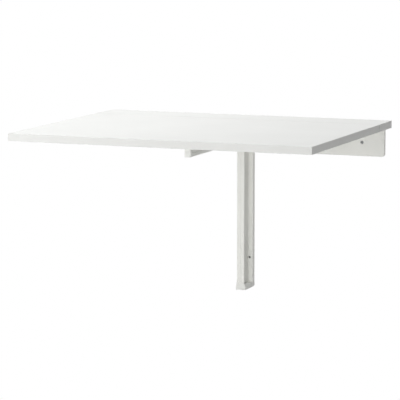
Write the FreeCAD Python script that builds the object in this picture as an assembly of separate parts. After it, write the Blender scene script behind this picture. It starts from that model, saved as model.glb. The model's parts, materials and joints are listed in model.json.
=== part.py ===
import FreeCAD, Part
import math
import os

# Wall mounted drop leaf table, in millimetres.
# X runs to the right along the wall, -Y points out of the wall, +Z is up.
# The wall is the plane Y = 0. The origin is midway between the two screw holes of the wall plate.

# ---- driving dimensions ------------------------------------------------------
TOP_WIDTH = 740.0
PROJECTION = 600.0          # from the wall to the front edge of the leaf
BOARD_THICK = 18.0
TOP_Z = 56.0                # upper face of the table
WALL_GAP = 3.0              # between the wall and the shelf
SHELF_DEPTH = 99.0
SEAM_GAP = 2.0
EDGING = 1.0
EDGING_ROUND = 0.6

PLATE_WIDTH = 708.0
PLATE_BOTTOM = -34.0
PLATE_STEEL = 2.0
PLATE_DEPTH = 6.0           # the plate is a shallow tray, its rim turned back to the wall
PLATE_BEND = 3.0
PLATE_LEDGE = 45.0          # how far the ledge reaches under the shelf
PLATE_CORNER = 8.0
LEDGE_BEND = 1.5
LEDGE_SCREW_XS = (-320.0, -200.0, -80.0, 80.0, 200.0, 320.0)
LEDGE_SCREW_Y = -28.0
WALL_HOLE_SPACING = 592.0
WALL_HOLE_R = 4.5           # in the steel; a bush fills it
WALL_SCREW_R = 2.75         # bore of the bush
WALL_BUSH_R = 8.0
WALL_BUSH_SUNK = 0.8

HINGE_XS = (-285.0, -105.0, 105.0, 285.0)
HINGE_LENGTH = 60.0
HINGE_PLATE = 1.5
HINGE_REACH = 28.0
HINGE_DROP = 3.0            # hinge axis below the underside of the boards
HINGE_CORNER = 3.0
HINGE_SCREW_XS = (-20.0, 0.0, 20.0)
HINGE_SCREW_OFF = 18.0      # from the hinge axis
KNUCKLE_R = 2.6
KNUCKLE_GAP = 0.3
KNUCKLE_CLEAR = 0.5         # between a knuckle and the other plate
HINGE_PIN_R = 1.5
HINGE_PIN_HEAD = (0.8, 2.2)  # length and radius

POST_X = -6.0
POST_WIDTH = 18.0
POST_FRONT = -40.5
BASE_WIDTH = 43.0
BASE_FRONT = -11.5
POST_STEEL = 1.8
POST_TUBE_BEND = 2.2
POST_BASE_BEND = 2.2
POST_STEP_BEND = 1.2        # where the tube rises from the base
POST_PLATE_GAP = 0.3        # between the post and the lower edge of the wall plate
POST_TUBE_TOP = -8.0
POST_BASE_TOP = 30.0
POST_END = -369.5
POST_HOLE_Z = -300.0
POST_HOLE_SPACING = 26.0
POST_HOLE_R = 2.5
POST_SLEEVE_R = 4.2
POST_SCREW_X = 14.3         # from the middle of the post
POST_SCREW_Z = 16.0
POST_SCREW_R = 2.0
POST_SCREW_HEAD = (2.6, 3.8)  # height and radius
POST_SCREW_END = -2.0
SIDE_GROOVE = 0.7
SIDE_GROOVE_IN = 9.0        # from the front and from the base
FRONT_GROOVE = 0.5
FRONT_GROOVE_HALF = 0.8
GROOVE_TOP = PLATE_BOTTOM - 8.0

CAP_TOP = -363.0
CAP_FULL = -371.0           # from here down the cap has its full width
CAP_FRONT_BOTTOM = -379.7
CAP_BACK_BOTTOM = -372.8
CAP_THICK = 0.6             # beyond the post at the top of the cap
CAP_FLARE = 3.5             # beyond the post at the foot, to each side
CAP_SHOULDER = -9.9         # where the sides turn in towards the front

ARM_WIDTH = 14.4
ARM_BOTTOM = -6.4
ARM_TOP = 34.3
ARM_FRONT = -395.0
ARM_WALL = 2.4
ARM_FLOOR = 2.0             # steel at the top and the bottom of the arm
ARM_ROUND = 1.0
ARM_GROOVE = 1.0
ARM_GROOVE_IN = 8.0         # from the top and the bottom of the arm
ARM_GROOVE_BACK = 26.0      # the grooves end this far in front of the pivot
ARM_TAIL = 20.0             # behind the pivot
ARM_SLOPE = 8.0             # in front of the pivot, where the top starts to slope down
ARM_CAP = 4.0
ARM_CAP_SLEEVE = 8.0        # the cap reaches this far back over the arm
ARM_CAP_PROUD = 0.6         # all round the arm
ARM_CAP_CORNER = 2.0
ARM_CAP_ROUND = 1.2
PLUG_LENGTH = 12.0
PLUG_WALL = 1.5
BUSH_WALL = 1.5
BUSH_RIM = (1.0, 3.5)       # thickness, and how far past the pin
PAD_GAP = 0.2
PAD_HALF = 5.5
PAD_LENGTH = 60.0
PAD_SET_BACK = 14.0         # from the arm's front to the pad
PAD_ROUND = 1.2

PIVOT_Y = -56.0
PIVOT_Z = 6.0
PIVOT_R = 4.0
PIVOT_HEAD = (2.0, 7.0)     # thickness and radius
PIVOT_TAIL = 3.0            # past the left cheek
CLIP_THICK = 1.2
CLIP_IN = 1.6               # from the cheek to the far side of the clip
CLIP_BITE = 0.9
WASHER_R = 9.0
WASHER_GAP = 0.1
RUNNING = 0.05              # radial clearance of every turning fit

CHEEK_STEEL = 2.5
CHEEK_BACK = -16.0
CHEEK_TOP = 19.0
CHEEK_BOTTOM = -30.5
CHEEK_NOSE = -69.0
CHEEK_NECK = (-42.0, -4.0)  # where the front edge starts and ends its slope
CHEEK_ROUNDS = (12.0, 8.0, 6.0)
RIVET_Y = -23.0
RIVET_ZS = (-13.0, -24.0)
RIVET_R = 2.5
RIVET_HEAD = (1.4, 4.2)     # height and radius
CATCH_Y = -48.0
CATCH_Z = -14.0
CATCH_NOSE = (7.0, 15.0)    # from the lever's rivet to its nose
CATCH_TRAVEL = 15.0         # degrees
CATCH_NOSE_R = 2.2
CATCH_RIVET_R = 2.5
CATCH_RIVET_HEAD = (1.5, 5.6)
CATCH_RIVET_LENGTH = 9.2
CATCH_STEEL = 1.6
CATCH_GAP = 0.3             # between the lever and the cheek
CATCH_TAB = (-14.5, -9.0)   # from the lever's rivet to the middle of the finger tab
CATCH_LIP = ((-2.0, 1.0), (3.0, -3.0))  # the ends of the tab's lip, from its middle
CATCH_GRIP = 7.0            # how far the lip stands out
CATCH_ROUNDS = (6.5, 4.0, 4.5)  # radii at the rivet, at the nose and at the tab
CATCH_NOSE_SHORT = 0.2      # the nose ends this far short of the cheek's inner face
SPRING_R = 4.0              # from the rivet's axis to the middle of the wire
SPRING_WIRE = 0.45
SPRING_GAP = 0.9            # between the lever and the middle of the wire
SPRING_PITCH = 1.05
SPRING_TURNS = 3
SPRING_SIDES = 8

SCREW_R = 1.8               # hinge screws
SCREW_LENGTH = 10.5
PAN_R = 2.0                 # ledge screws
PAN_LENGTH = 14.0
PAN_HEAD = (2.4, 4.0)       # height and radius
RECESS_HALF = 2.0
RECESS_SLOT = 0.45
RECESS_SHALLOW = 0.9
RECESS_DEEP = 1.4

# ---- worked out --------------------------------------------------------------
UNDER_Z = TOP_Z - BOARD_THICK
SHELF_FRONT = -WALL_GAP - SHELF_DEPTH
LEAF_BACK = SHELF_FRONT - SEAM_GAP
HINGE_Y = SHELF_FRONT - SEAM_GAP / 2
HINGE_Z = UNDER_Z - HINGE_DROP
HALF_POST = POST_WIDTH / 2
HALF_BASE = BASE_WIDTH / 2
HALF_ARM = ARM_WIDTH / 2
CHEEK_OUT = HALF_POST + CHEEK_STEEL
POST_LEFT = POST_X - HALF_POST
POST_RIGHT = POST_X + HALF_POST
ARM_LEFT = POST_X - HALF_ARM
ARM_RIGHT = POST_X + HALF_ARM
WASHER = HALF_POST - HALF_ARM - 2 * WASHER_GAP
WALL_HOLE_XS = (-WALL_HOLE_SPACING / 2, WALL_HOLE_SPACING / 2)
POST_HOLE_XS = (POST_X - POST_HOLE_SPACING / 2, POST_X + POST_HOLE_SPACING / 2)
POST_SCREW_XS = (POST_X - POST_SCREW_X, POST_X + POST_SCREW_X)
SPRING_X = POST_X + CHEEK_OUT + CATCH_GAP + CATCH_STEEL + SPRING_GAP


def box(x0, x1, y0, y1, z0, z1):
    return Part.makeBox(x1 - x0, y1 - y0, z1 - z0, FreeCAD.Vector(x0, y0, z0))


def rod(axis, start, length, radius):
    direction = {"x": (1, 0, 0), "y": (0, 1, 0), "z": (0, 0, 1)}[axis]
    return Part.makeCylinder(radius, length, FreeCAD.Vector(*start), FreeCAD.Vector(*direction))


def ring(axis, start, length, outer, inner):
    return rod(axis, start, length, outer).cut(rod(axis, start, length, inner))


def side_plate(outline, x0, x1):
    """A flat plate whose outline is given as (y, z) points."""
    points = [FreeCAD.Vector(x0, y, z) for y, z in outline]
    face = Part.Face(Part.makePolygon(points + points[:1]))
    return face.extrude(FreeCAD.Vector(x1 - x0, 0, 0))


def mirrored(half):
    """A closed outline from the (x, y) points of its right half, about the middle of the post."""
    return [(-x, y) for x, y in half] + half[::-1]


def level(outline, z):
    points = [FreeCAD.Vector(POST_X + x, y, z) for x, y in outline]
    return Part.makePolygon(points + points[:1])


def upright(outline, z0, z1):
    return Part.Face(level(outline, z0)).extrude(FreeCAD.Vector(0, 0, z1 - z0))


def hat(grow, z0, z1, back=0.0):
    """The post's outline, grown outwards by grow at the sides and the front."""
    wide = HALF_BASE + grow
    slim = HALF_POST + grow
    step = BASE_FRONT - grow
    return upright(mirrored([(wide, back), (wide, step), (slim, step), (slim, POST_FRONT - grow)]), z0, z1)


def bent_hat(grow, z0, z1, back=0.0):
    """The same with its bends rounded; the radii follow the thickness of the sheet."""
    shape = hat(grow, z0, z1, back)
    wide = HALF_BASE + grow
    slim = HALF_POST + grow
    step = BASE_FRONT - grow
    for half, y, radius in ((slim, POST_FRONT - grow, POST_TUBE_BEND + grow),
                            (wide, step, POST_BASE_BEND + grow),
                            (slim, step, POST_STEP_BEND - grow)):
        shape = shape.makeFillet(radius, edges_at(shape, 2, [(POST_X - half, y), (POST_X + half, y)]))
    return shape


def edges_at(shape, axis, spots, slack=0.01):
    """Edges that run along axis and pass through one of the spots, given on the other two axes."""
    others = [i for i in range(3) if i != axis]
    found = []
    for edge in shape.Edges:
        ends = [vertex.Point for vertex in edge.Vertexes]
        if len(ends) != 2 or abs((ends[1] - ends[0])[axis]) < 0.5 * edge.Length:
            continue
        for spot in spots:
            if all(abs(end[i] - s) < slack for end in ends for i, s in zip(others, spot)):
                found.append(edge)
    return found


def join(shapes):
    whole = shapes[0]
    for shape in shapes[1:]:
        whole = whole.fuse(shape)
    return whole.removeSplitter()


def save(node, shapes):
    solids = []
    for shape in shapes if isinstance(shapes, list) else [shapes]:
        solids += shape.Solids
    for solid in solids:
        if not solid.isValid() or solid.Volume <= 0:
            raise ValueError(node + " has a bad solid")
    shape = solids[0] if len(solids) == 1 else Part.makeCompound(solids)
    shape.exportStep("parts/" + node + ".step")
    print(f"{node:24s} {len(solids):2d} solids  {shape.Volume / 1000:10.2f} cm3")


# ---- boards ------------------------------------------------------------------
def edging_strips(y_front, y_back):
    """Four strips round a board: front and back run the whole width, the ends fit between them."""
    half = TOP_WIDTH / 2
    strips = []
    for y0, y1, outer in ((y_front, y_front + EDGING, y_front), (y_back - EDGING, y_back, y_back)):
        strip = box(-half, half, y0, y1, UNDER_Z, TOP_Z)
        strips.append(strip.makeFillet(EDGING_ROUND, edges_at(strip, 0, [(outer, UNDER_Z), (outer, TOP_Z)])))
    for x0, x1, outer in ((-half, -half + EDGING, -half), (half - EDGING, half, half)):
        strip = box(x0, x1, y_front + EDGING, y_back - EDGING, UNDER_Z, TOP_Z)
        strips.append(strip.makeFillet(EDGING_ROUND, edges_at(strip, 1, [(outer, UNDER_Z), (outer, TOP_Z)])))
    return strips


def board(y_front, y_back, screws):
    half = TOP_WIDTH / 2 - EDGING
    core = box(-half, half, y_front + EDGING, y_back - EDGING, UNDER_Z, TOP_Z)
    return core.cut(Part.makeCompound(screws))


# ---- screws --------------------------------------------------------------------
def countersunk_screw(x, y):
    """A wood screw driven upwards, its head flush with the lower face of a hinge plate."""
    low = UNDER_Z - HINGE_PLATE
    head = Part.makeCone(2 * SCREW_R, SCREW_R, HINGE_PLATE, FreeCAD.Vector(x, y, low))
    shank = rod("z", (x, y, UNDER_Z), SCREW_LENGTH, SCREW_R)
    return join([head, shank]).cut(cross_recess(x, y, low, RECESS_SHALLOW))


def pan_screw(x, y):
    """A screw driven up through the ledge of the wall plate into the shelf."""
    high, radius = PAN_HEAD
    low = UNDER_Z - PLATE_STEEL - high
    head = rod("z", (x, y, low), high, radius)
    head = head.makeFillet(high / 2, edge_circle(head, 2, low))
    shank = rod("z", (x, y, low + high), PAN_LENGTH, PAN_R)
    return join([head, shank]).cut(cross_recess(x, y, low, RECESS_DEEP))


def cross_recess(x, y, z, depth):
    arms = ((RECESS_HALF, RECESS_SLOT), (RECESS_SLOT, RECESS_HALF))
    return join([box(x - a, x + a, y - b, y + b, z - 0.1, z + depth) for a, b in arms])


def edge_circle(shape, axis, level):
    """Round edges that lie in the plane at level on axis."""
    found = []
    for edge in shape.Edges:
        bounds = edge.BoundBox
        low = (bounds.XMin, bounds.YMin, bounds.ZMin)[axis]
        high = (bounds.XMax, bounds.YMax, bounds.ZMax)[axis]
        if abs(low - level) < 0.01 and abs(high - level) < 0.01:
            found.append(edge)
    return found


SHELF_SCREWS = [pan_screw(x, LEDGE_SCREW_Y) for x in LEDGE_SCREW_XS]
SCREW_XS = [hinge_x + x for hinge_x in HINGE_XS for x in HINGE_SCREW_XS]
HINGE_SHELF_SCREWS = [countersunk_screw(x, HINGE_Y + HINGE_SCREW_OFF) for x in SCREW_XS]
HINGE_LEAF_SCREWS = [countersunk_screw(x, HINGE_Y - HINGE_SCREW_OFF) for x in SCREW_XS]


# ---- wall plate ----------------------------------------------------------------
def tray_blank(inset):
    """The plate's web and rim as one block, smaller by inset on its inside."""
    half = PLATE_WIDTH / 2 - inset
    front = inset - PLATE_DEPTH
    low = PLATE_BOTTOM + inset
    top = UNDER_Z + inset
    block = box(-half, half, front, inset, low, top)
    block = block.makeFillet(PLATE_CORNER - inset, edges_at(block, 1, [(-half, low), (half, low)]))
    outline = [edge for edge in edge_circle(block, 1, front) if edge.BoundBox.ZMin < top - 0.1]
    return block.makeFillet(PLATE_BEND - inset, outline)


def wall_plate():
    """A tray whose rim stands on the wall, with a ledge bent forward under the shelf."""
    half = PLATE_WIDTH / 2 - PLATE_BEND
    ledge_z = UNDER_Z - PLATE_STEEL
    ledge = box(-half, half, -PLATE_LEDGE, PLATE_STEEL - PLATE_DEPTH, ledge_z, UNDER_Z)
    ledge = ledge.makeFillet(PLATE_CORNER, edges_at(ledge, 2, [(-half, -PLATE_LEDGE), (half, -PLATE_LEDGE)]))
    bend_y, bend_z = -PLATE_DEPTH - LEDGE_BEND, ledge_z - LEDGE_BEND
    bend = box(-half, half, bend_y, -PLATE_DEPTH, bend_z, ledge_z)
    bend = bend.cut(rod("x", (-half - 1, bend_y, bend_z), PLATE_WIDTH, LEDGE_BEND))
    plate = join([tray_blank(0.0).cut(tray_blank(PLATE_STEEL)), ledge, bend])
    for x in WALL_HOLE_XS:
        plate = plate.cut(rod("y", (x, -PLATE_DEPTH - 1, 0), PLATE_DEPTH, WALL_HOLE_R))
    return plate.cut(Part.makeCompound(SHELF_SCREWS + post_screws()))


def wall_bushes():
    """Spacers between the plate and the wall; the collar of each fills its hole in the plate."""
    bushes = []
    for x in WALL_HOLE_XS:
        body = rod("y", (x, PLATE_STEEL - PLATE_DEPTH, 0), PLATE_DEPTH - PLATE_STEEL, WALL_BUSH_R)
        collar = rod("y", (x, WALL_BUSH_SUNK - PLATE_DEPTH, 0), PLATE_DEPTH - WALL_BUSH_SUNK, WALL_HOLE_R)
        bore = rod("y", (x, -PLATE_DEPTH, 0), PLATE_DEPTH + 1, WALL_SCREW_R)
        bushes.append(join([body, collar]).cut(bore))
    return bushes


# ---- hinges --------------------------------------------------------------------
def hinge_plate(x, side):
    """side is +1 for the plate on the shelf and -1 for the plate on the leaf."""
    third = HINGE_LENGTH / 6
    clear = KNUCKLE_R + KNUCKLE_CLEAR
    spans = [(-third, third)]
    if side > 0:
        spans = [(-3 * third, -third - KNUCKLE_GAP), (third + KNUCKLE_GAP, 3 * third)]
    outer = HINGE_Y + side * HINGE_REACH
    near, far = sorted((HINGE_Y + side * clear, outer))
    plate = box(x - 3 * third, x + 3 * third, near, far, UNDER_Z - HINGE_PLATE, UNDER_Z)
    corners = [(x - 3 * third, outer), (x + 3 * third, outer)]
    pieces = [plate.makeFillet(HINGE_CORNER, edges_at(plate, 2, corners))]
    for x0, x1 in spans:
        low, high = sorted((HINGE_Y, HINGE_Y + side * clear))
        pieces.append(box(x + x0, x + x1, low, high, UNDER_Z - HINGE_PLATE, UNDER_Z))
        pieces.append(rod("x", (x + x0, HINGE_Y, HINGE_Z), x1 - x0, KNUCKLE_R))
    bore_r = HINGE_PIN_R if side > 0 else HINGE_PIN_R + RUNNING
    bore = rod("x", (x - HINGE_LENGTH, HINGE_Y, HINGE_Z), 2 * HINGE_LENGTH, bore_r)
    screws = HINGE_SHELF_SCREWS if side > 0 else HINGE_LEAF_SCREWS
    holes = [countersink(screw) for screw in screws if abs(screw.BoundBox.Center.x - x) < HINGE_LENGTH]
    return join(pieces).cut(bore).cut(Part.makeCompound(holes))


def countersink(screw):
    centre = screw.BoundBox.Center
    seat = FreeCAD.Vector(centre.x, centre.y, UNDER_Z - HINGE_PLATE)
    return Part.makeCone(2 * SCREW_R, SCREW_R, HINGE_PLATE, seat)


def hinge_pin(x):
    half = HINGE_LENGTH / 2
    length, radius = HINGE_PIN_HEAD
    shaft = rod("x", (x - half, HINGE_Y, HINGE_Z), 2 * half, HINGE_PIN_R)
    heads = [rod("x", (x + end, HINGE_Y, HINGE_Z), length, radius) for end in (-half - length, half)]
    return join([shaft] + heads)


# ---- post ----------------------------------------------------------------------
def post_screws():
    """Machine screws through the post's base into the wall plate."""
    high, radius = POST_SCREW_HEAD
    front = BASE_FRONT - high
    screws = []
    for x in POST_SCREW_XS:
        head = rod("y", (x, front, POST_SCREW_Z), high, radius)
        head = head.makeFillet(high / 2, edge_circle(head, 1, front))
        shank = rod("y", (x, BASE_FRONT, POST_SCREW_Z), POST_SCREW_END - BASE_FRONT, POST_SCREW_R)
        socket = hexagon(x, POST_SCREW_Z, POST_SCREW_R, front - 0.1, front + high / 2)
        screws.append(join([head, shank]).cut(socket))
    return screws


def hexagon(x, z, radius, y0, y1):
    points = []
    for i in range(7):
        angle = math.radians(60 * i)
        points.append(FreeCAD.Vector(x + radius * math.cos(angle), y0, z + radius * math.sin(angle)))
    return Part.Face(Part.makePolygon(points)).extrude(FreeCAD.Vector(0, y1 - y0, 0))


def wall_post():
    past = 1.0              # so that a cut goes clean through
    body = bent_hat(0.0, POST_END, POST_BASE_TOP)
    body = body.cut(bent_hat(-POST_STEEL, POST_END - past, POST_BASE_TOP + past, back=past))
    body = body.cut(box(POST_LEFT - past, POST_RIGHT + past, POST_FRONT - past, BASE_FRONT - POST_STEP_BEND,
                        POST_TUBE_TOP, POST_BASE_TOP + past))
    body = body.cut(box(POST_X - BASE_WIDTH, POST_X + BASE_WIDTH, -PLATE_DEPTH, past,
                        PLATE_BOTTOM - POST_PLATE_GAP, POST_BASE_TOP + past))
    body = body.cut(Part.makeCompound(side_grooves() + [front_groove()]))
    through = POST_STEEL + 2 * past
    for x in POST_HOLE_XS:
        body = body.cut(rod("y", (x, BASE_FRONT - past, POST_HOLE_Z), through, POST_HOLE_R))
    for x in POST_SCREW_XS:
        body = body.cut(rod("y", (x, BASE_FRONT - past, POST_SCREW_Z), through, POST_SCREW_R))
    return body.cut(Part.makeCompound(cheek_rivets()))


def post_sleeves():
    """Spacers behind the screw holes in the post's base, so that the screws can't crush it."""
    back = BASE_FRONT + POST_STEEL
    return [ring("y", (x, back, POST_HOLE_Z), -back, POST_SLEEVE_R, POST_HOLE_R) for x in POST_HOLE_XS]


def side_grooves():
    """A shallow band down each side of the post's tube."""
    grooves = []
    for side in (-1, 1):
        face = POST_X + side * HALF_POST
        x0, x1 = sorted((face - side * SIDE_GROOVE, face + side))
        grooves.append(box(x0, x1, POST_FRONT + SIDE_GROOVE_IN, BASE_FRONT - SIDE_GROOVE_IN,
                           POST_END - 1, GROOVE_TOP))
    return grooves


def front_groove():
    return box(POST_X - FRONT_GROOVE_HALF, POST_X + FRONT_GROOVE_HALF,
               POST_FRONT - 1, POST_FRONT + FRONT_GROOVE, POST_END - 1, POST_TUBE_TOP + 1)


def foot_outline(flare):
    """Straight sides run from the front corners to the bends of the post's base."""
    wide = HALF_BASE + CAP_THICK
    return mirrored([(wide, 0.0), (wide, CAP_SHOULDER), (HALF_POST + flare, POST_FRONT - CAP_THICK)])


def post_foot_cap():
    """A moulded cup over the post's foot. It flares, and its bottom slants up towards the wall."""
    slim = foot_outline(CAP_THICK)
    full = foot_outline(CAP_FLARE)
    collar = Part.makeLoft([level(full, CAP_FULL), level(slim, CAP_TOP)], True, True)
    outside = join([collar, upright(full, CAP_FRONT_BOTTOM, CAP_FULL)])
    front = POST_FRONT - 2 * CAP_THICK
    below = CAP_FRONT_BOTTOM - 10.0
    slant = side_plate([(front, CAP_FRONT_BOTTOM), (1, CAP_BACK_BOTTOM), (1, below), (front, below)],
                       POST_X - BASE_WIDTH, POST_X + BASE_WIDTH)
    return outside.cut(bent_hat(0.0, POST_END, CAP_TOP + 1)).cut(slant)


# ---- pivot ---------------------------------------------------------------------
def cheek(side):
    neck_y, neck_z = CHEEK_NECK
    outline = [(CHEEK_BACK, CHEEK_BOTTOM), (CHEEK_BACK, CHEEK_TOP), (CHEEK_NOSE, CHEEK_TOP),
               (CHEEK_NOSE, neck_z), (neck_y, CHEEK_BOTTOM)]
    x0, x1 = sorted((POST_X + side * HALF_POST, POST_X + side * CHEEK_OUT))
    plate = side_plate(outline, x0, x1)
    corner_sets = ([outline[2]], [outline[3]], [outline[0], outline[1], outline[4]])
    for radius, corners in zip(CHEEK_ROUNDS, corner_sets):
        plate = plate.makeFillet(radius, edges_at(plate, 0, corners))
    plate = plate.cut(rod("x", (x0 - 1, PIVOT_Y, PIVOT_Z), CHEEK_STEEL + 2, PIVOT_R))
    if side > 0:
        plate = plate.cut(nose_slot(x0 - 1, x1 + 1))
        plate = plate.cut(rod("x", (x0 - 1, CATCH_Y, CATCH_Z), CHEEK_STEEL + 2, CATCH_RIVET_R))
    return plate.cut(Part.makeCompound(cheek_rivets()))


def nose_slot(x0, x1):
    """A curved slot about the catch's rivet, wide enough for the nose over its travel."""
    radius = math.hypot(*CATCH_NOSE)
    rest = math.degrees(math.atan2(CATCH_NOSE[1], CATCH_NOSE[0]))
    half = CATCH_NOSE_R + 0.5
    high = rest + 1.0
    low = rest - CATCH_TRAVEL - 1.0
    middle = (high + low) / 2
    past = math.degrees(half / radius)

    def spot(distance, angle):
        turn = math.radians(angle)
        return FreeCAD.Vector(x0, CATCH_Y + distance * math.cos(turn), CATCH_Z + distance * math.sin(turn))

    curves = [Part.Arc(spot(radius + half, low), spot(radius + half, middle), spot(radius + half, high)),
              Part.Arc(spot(radius + half, high), spot(radius, high + past), spot(radius - half, high)),
              Part.Arc(spot(radius - half, high), spot(radius - half, middle), spot(radius - half, low)),
              Part.Arc(spot(radius - half, low), spot(radius, low - past), spot(radius + half, low))]
    outline = Part.Wire([curve.toShape() for curve in curves])
    return Part.Face(outline).extrude(FreeCAD.Vector(x1 - x0, 0, 0))


def cheek_rivets():
    high, radius = RIVET_HEAD
    rivets = []
    for z in RIVET_ZS:
        pieces = [rod("x", (POST_X - CHEEK_OUT, RIVET_Y, z), 2 * CHEEK_OUT, RIVET_R)]
        for side in (-1, 1):
            face = POST_X + side * CHEEK_OUT
            far = face + side * high
            head = rod("x", (min(face, far), RIVET_Y, z), high, radius)
            pieces.append(head.makeFillet(0.6 * high, edge_circle(head, 0, far)))
        rivets.append(join(pieces))
    return rivets


def pivot_pin():
    thick, radius = PIVOT_HEAD
    end = POST_X + CHEEK_OUT
    start = POST_X - CHEEK_OUT - PIVOT_TAIL
    shaft = rod("x", (start, PIVOT_Y, PIVOT_Z), end - start, PIVOT_R)
    head = rod("x", (end, PIVOT_Y, PIVOT_Z), thick, radius)
    head = head.makeFillet(0.6 * thick, edge_circle(head, 0, end + thick))
    seat = (POST_X - CHEEK_OUT - CLIP_IN, PIVOT_Y, PIVOT_Z)
    return join([shaft, head]).cut(ring("x", seat, CLIP_THICK, PIVOT_R + 1, PIVOT_R - CLIP_BITE))


def pivot_clip():
    """An open ring that snaps into the pin's groove."""
    x = POST_X - CHEEK_OUT - CLIP_IN
    radius = PIVOT_HEAD[1]
    half = 0.65 * PIVOT_R
    clip = ring("x", (x, PIVOT_Y, PIVOT_Z), CLIP_THICK, radius, PIVOT_R - CLIP_BITE)
    mouth = box(x - 1, x + CLIP_THICK + 1, PIVOT_Y - half, PIVOT_Y + half, PIVOT_Z - radius - 1, PIVOT_Z)
    return clip.cut(mouth)


def pivot_washers():
    starts = (POST_LEFT + WASHER_GAP, ARM_RIGHT + WASHER_GAP)
    return [ring("x", (x, PIVOT_Y, PIVOT_Z), WASHER, WASHER_R, PIVOT_R) for x in starts]


# ---- arm -----------------------------------------------------------------------
def arm_blank():
    """The arm as a solid bar with rounded corners."""
    bar = box(ARM_LEFT, ARM_RIGHT, ARM_FRONT + ARM_CAP, PIVOT_Y + ARM_TAIL, ARM_BOTTOM, ARM_TOP)
    corners = [(x, z) for x in (ARM_LEFT, ARM_RIGHT) for z in (ARM_BOTTOM, ARM_TOP)]
    return bar.makeFillet(ARM_ROUND, edges_at(bar, 1, corners))


def support_arm():
    front = ARM_FRONT + ARM_CAP
    back = PIVOT_Y + ARM_TAIL
    body = arm_blank().cut(box(ARM_LEFT + ARM_WALL, ARM_RIGHT - ARM_WALL, front - 1, back + 1,
                               ARM_BOTTOM + ARM_FLOOR, ARM_TOP - ARM_FLOOR))
    for side in (-1, 1):
        face = POST_X + side * HALF_ARM
        low, high = sorted((face - side * ARM_GROOVE, face + side))
        body = body.cut(box(low, high, front - 1, PIVOT_Y - ARM_GROOVE_BACK,
                            ARM_BOTTOM + ARM_GROOVE_IN, ARM_TOP - ARM_GROOVE_IN))
    low = PIVOT_Z + PIVOT_R
    tail = side_plate([(PIVOT_Y - ARM_SLOPE, ARM_TOP + 1), (PIVOT_Y - ARM_SLOPE, ARM_TOP), (back, low),
                       (back + 1, low), (back + 1, ARM_TOP + 1)], ARM_LEFT - 1, ARM_RIGHT + 1)
    return body.cut(tail).cut(rod("x", (ARM_LEFT - 1, PIVOT_Y, PIVOT_Z), ARM_WIDTH + 2, PIVOT_R + BUSH_WALL))


def arm_bushes():
    thick, reach = BUSH_RIM
    bore = PIVOT_R + RUNNING
    bushes = []
    for side in (-1, 1):
        x = POST_X + side * (HALF_ARM - ARM_WALL)
        wall = ring("x", (min(x, x + side * ARM_WALL), PIVOT_Y, PIVOT_Z), ARM_WALL, PIVOT_R + BUSH_WALL, bore)
        rim = ring("x", (min(x, x - side * thick), PIVOT_Y, PIVOT_Z), thick, PIVOT_R + reach, bore)
        bushes.append(join([wall, rim]))
    return bushes


def arm_end_cap():
    """A moulded cap: a sleeve over the end of the arm, and a hollow plug inside it."""
    x0, x1 = ARM_LEFT - ARM_CAP_PROUD, ARM_RIGHT + ARM_CAP_PROUD
    z0, z1 = ARM_BOTTOM - ARM_CAP_PROUD, ARM_TOP + ARM_CAP_PROUD
    sleeve = box(x0, x1, ARM_FRONT, ARM_FRONT + ARM_CAP_SLEEVE, z0, z1)
    corners = [(x, z) for x in (x0, x1) for z in (z0, z1)]
    sleeve = sleeve.makeFillet(ARM_CAP_CORNER, edges_at(sleeve, 1, corners))
    sleeve = sleeve.makeFillet(ARM_CAP_ROUND, edge_circle(sleeve, 1, ARM_FRONT)).cut(arm_blank())
    inside = ARM_FRONT + ARM_CAP
    inner = ARM_WALL + PLUG_WALL
    floor = ARM_FLOOR + PLUG_WALL
    plug = box(ARM_LEFT + ARM_WALL, ARM_RIGHT - ARM_WALL, inside, inside + PLUG_LENGTH,
               ARM_BOTTOM + ARM_FLOOR, ARM_TOP - ARM_FLOOR)
    hollow = box(ARM_LEFT + inner, ARM_RIGHT - inner, inside, inside + PLUG_LENGTH + 1,
                 ARM_BOTTOM + floor, ARM_TOP - floor)
    return join([sleeve, plug.cut(hollow)])


def arm_pad():
    top = UNDER_Z - PAD_GAP
    y0 = ARM_FRONT + PAD_SET_BACK
    pad = box(POST_X - PAD_HALF, POST_X + PAD_HALF, y0, y0 + PAD_LENGTH, ARM_TOP, top)
    long_edges = [(POST_X - PAD_HALF, top), (POST_X + PAD_HALF, top)]
    short_edges = [(y0, top), (y0 + PAD_LENGTH, top)]
    return pad.makeFillet(PAD_ROUND, edges_at(pad, 1, long_edges) + edges_at(pad, 0, short_edges))


# ---- catch ---------------------------------------------------------------------
def catch_lever():
    """A flat lever on the right cheek: nose at the top, finger tab at the bottom."""
    x0 = POST_X + CHEEK_OUT + CATCH_GAP
    x1 = x0 + CATCH_STEEL
    hub_r, tip_r, tab_r = CATCH_ROUNDS
    nose = (CATCH_Y + CATCH_NOSE[0], CATCH_Z + CATCH_NOSE[1])
    tab = (CATCH_Y + CATCH_TAB[0], CATCH_Z + CATCH_TAB[1])
    rounds = [rod("x", (x0, y, z), CATCH_STEEL, radius)
              for (y, z), radius in (((CATCH_Y, CATCH_Z), hub_r), (nose, tip_r), (tab, tab_r))]
    upper = strap((CATCH_Y, CATCH_Z), nose, tip_r, x0, x1)
    lower = strap((CATCH_Y, CATCH_Z), tab, tab_r, x0, x1)
    low, high = ((tab[0] + y, tab[1] + z) for y, z in CATCH_LIP)
    grip = strap(low, high, CATCH_STEEL / 2, x0, x1 + CATCH_GRIP)
    stub_x = POST_RIGHT + CATCH_NOSE_SHORT
    stub = rod("x", (stub_x, nose[0], nose[1]), x0 - stub_x, CATCH_NOSE_R)
    bore = rod("x", (POST_RIGHT, CATCH_Y, CATCH_Z), x1 + CATCH_GRIP - POST_RIGHT, CATCH_RIVET_R + RUNNING)
    return join(rounds + [upper, lower, grip, stub]).cut(bore)


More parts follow.
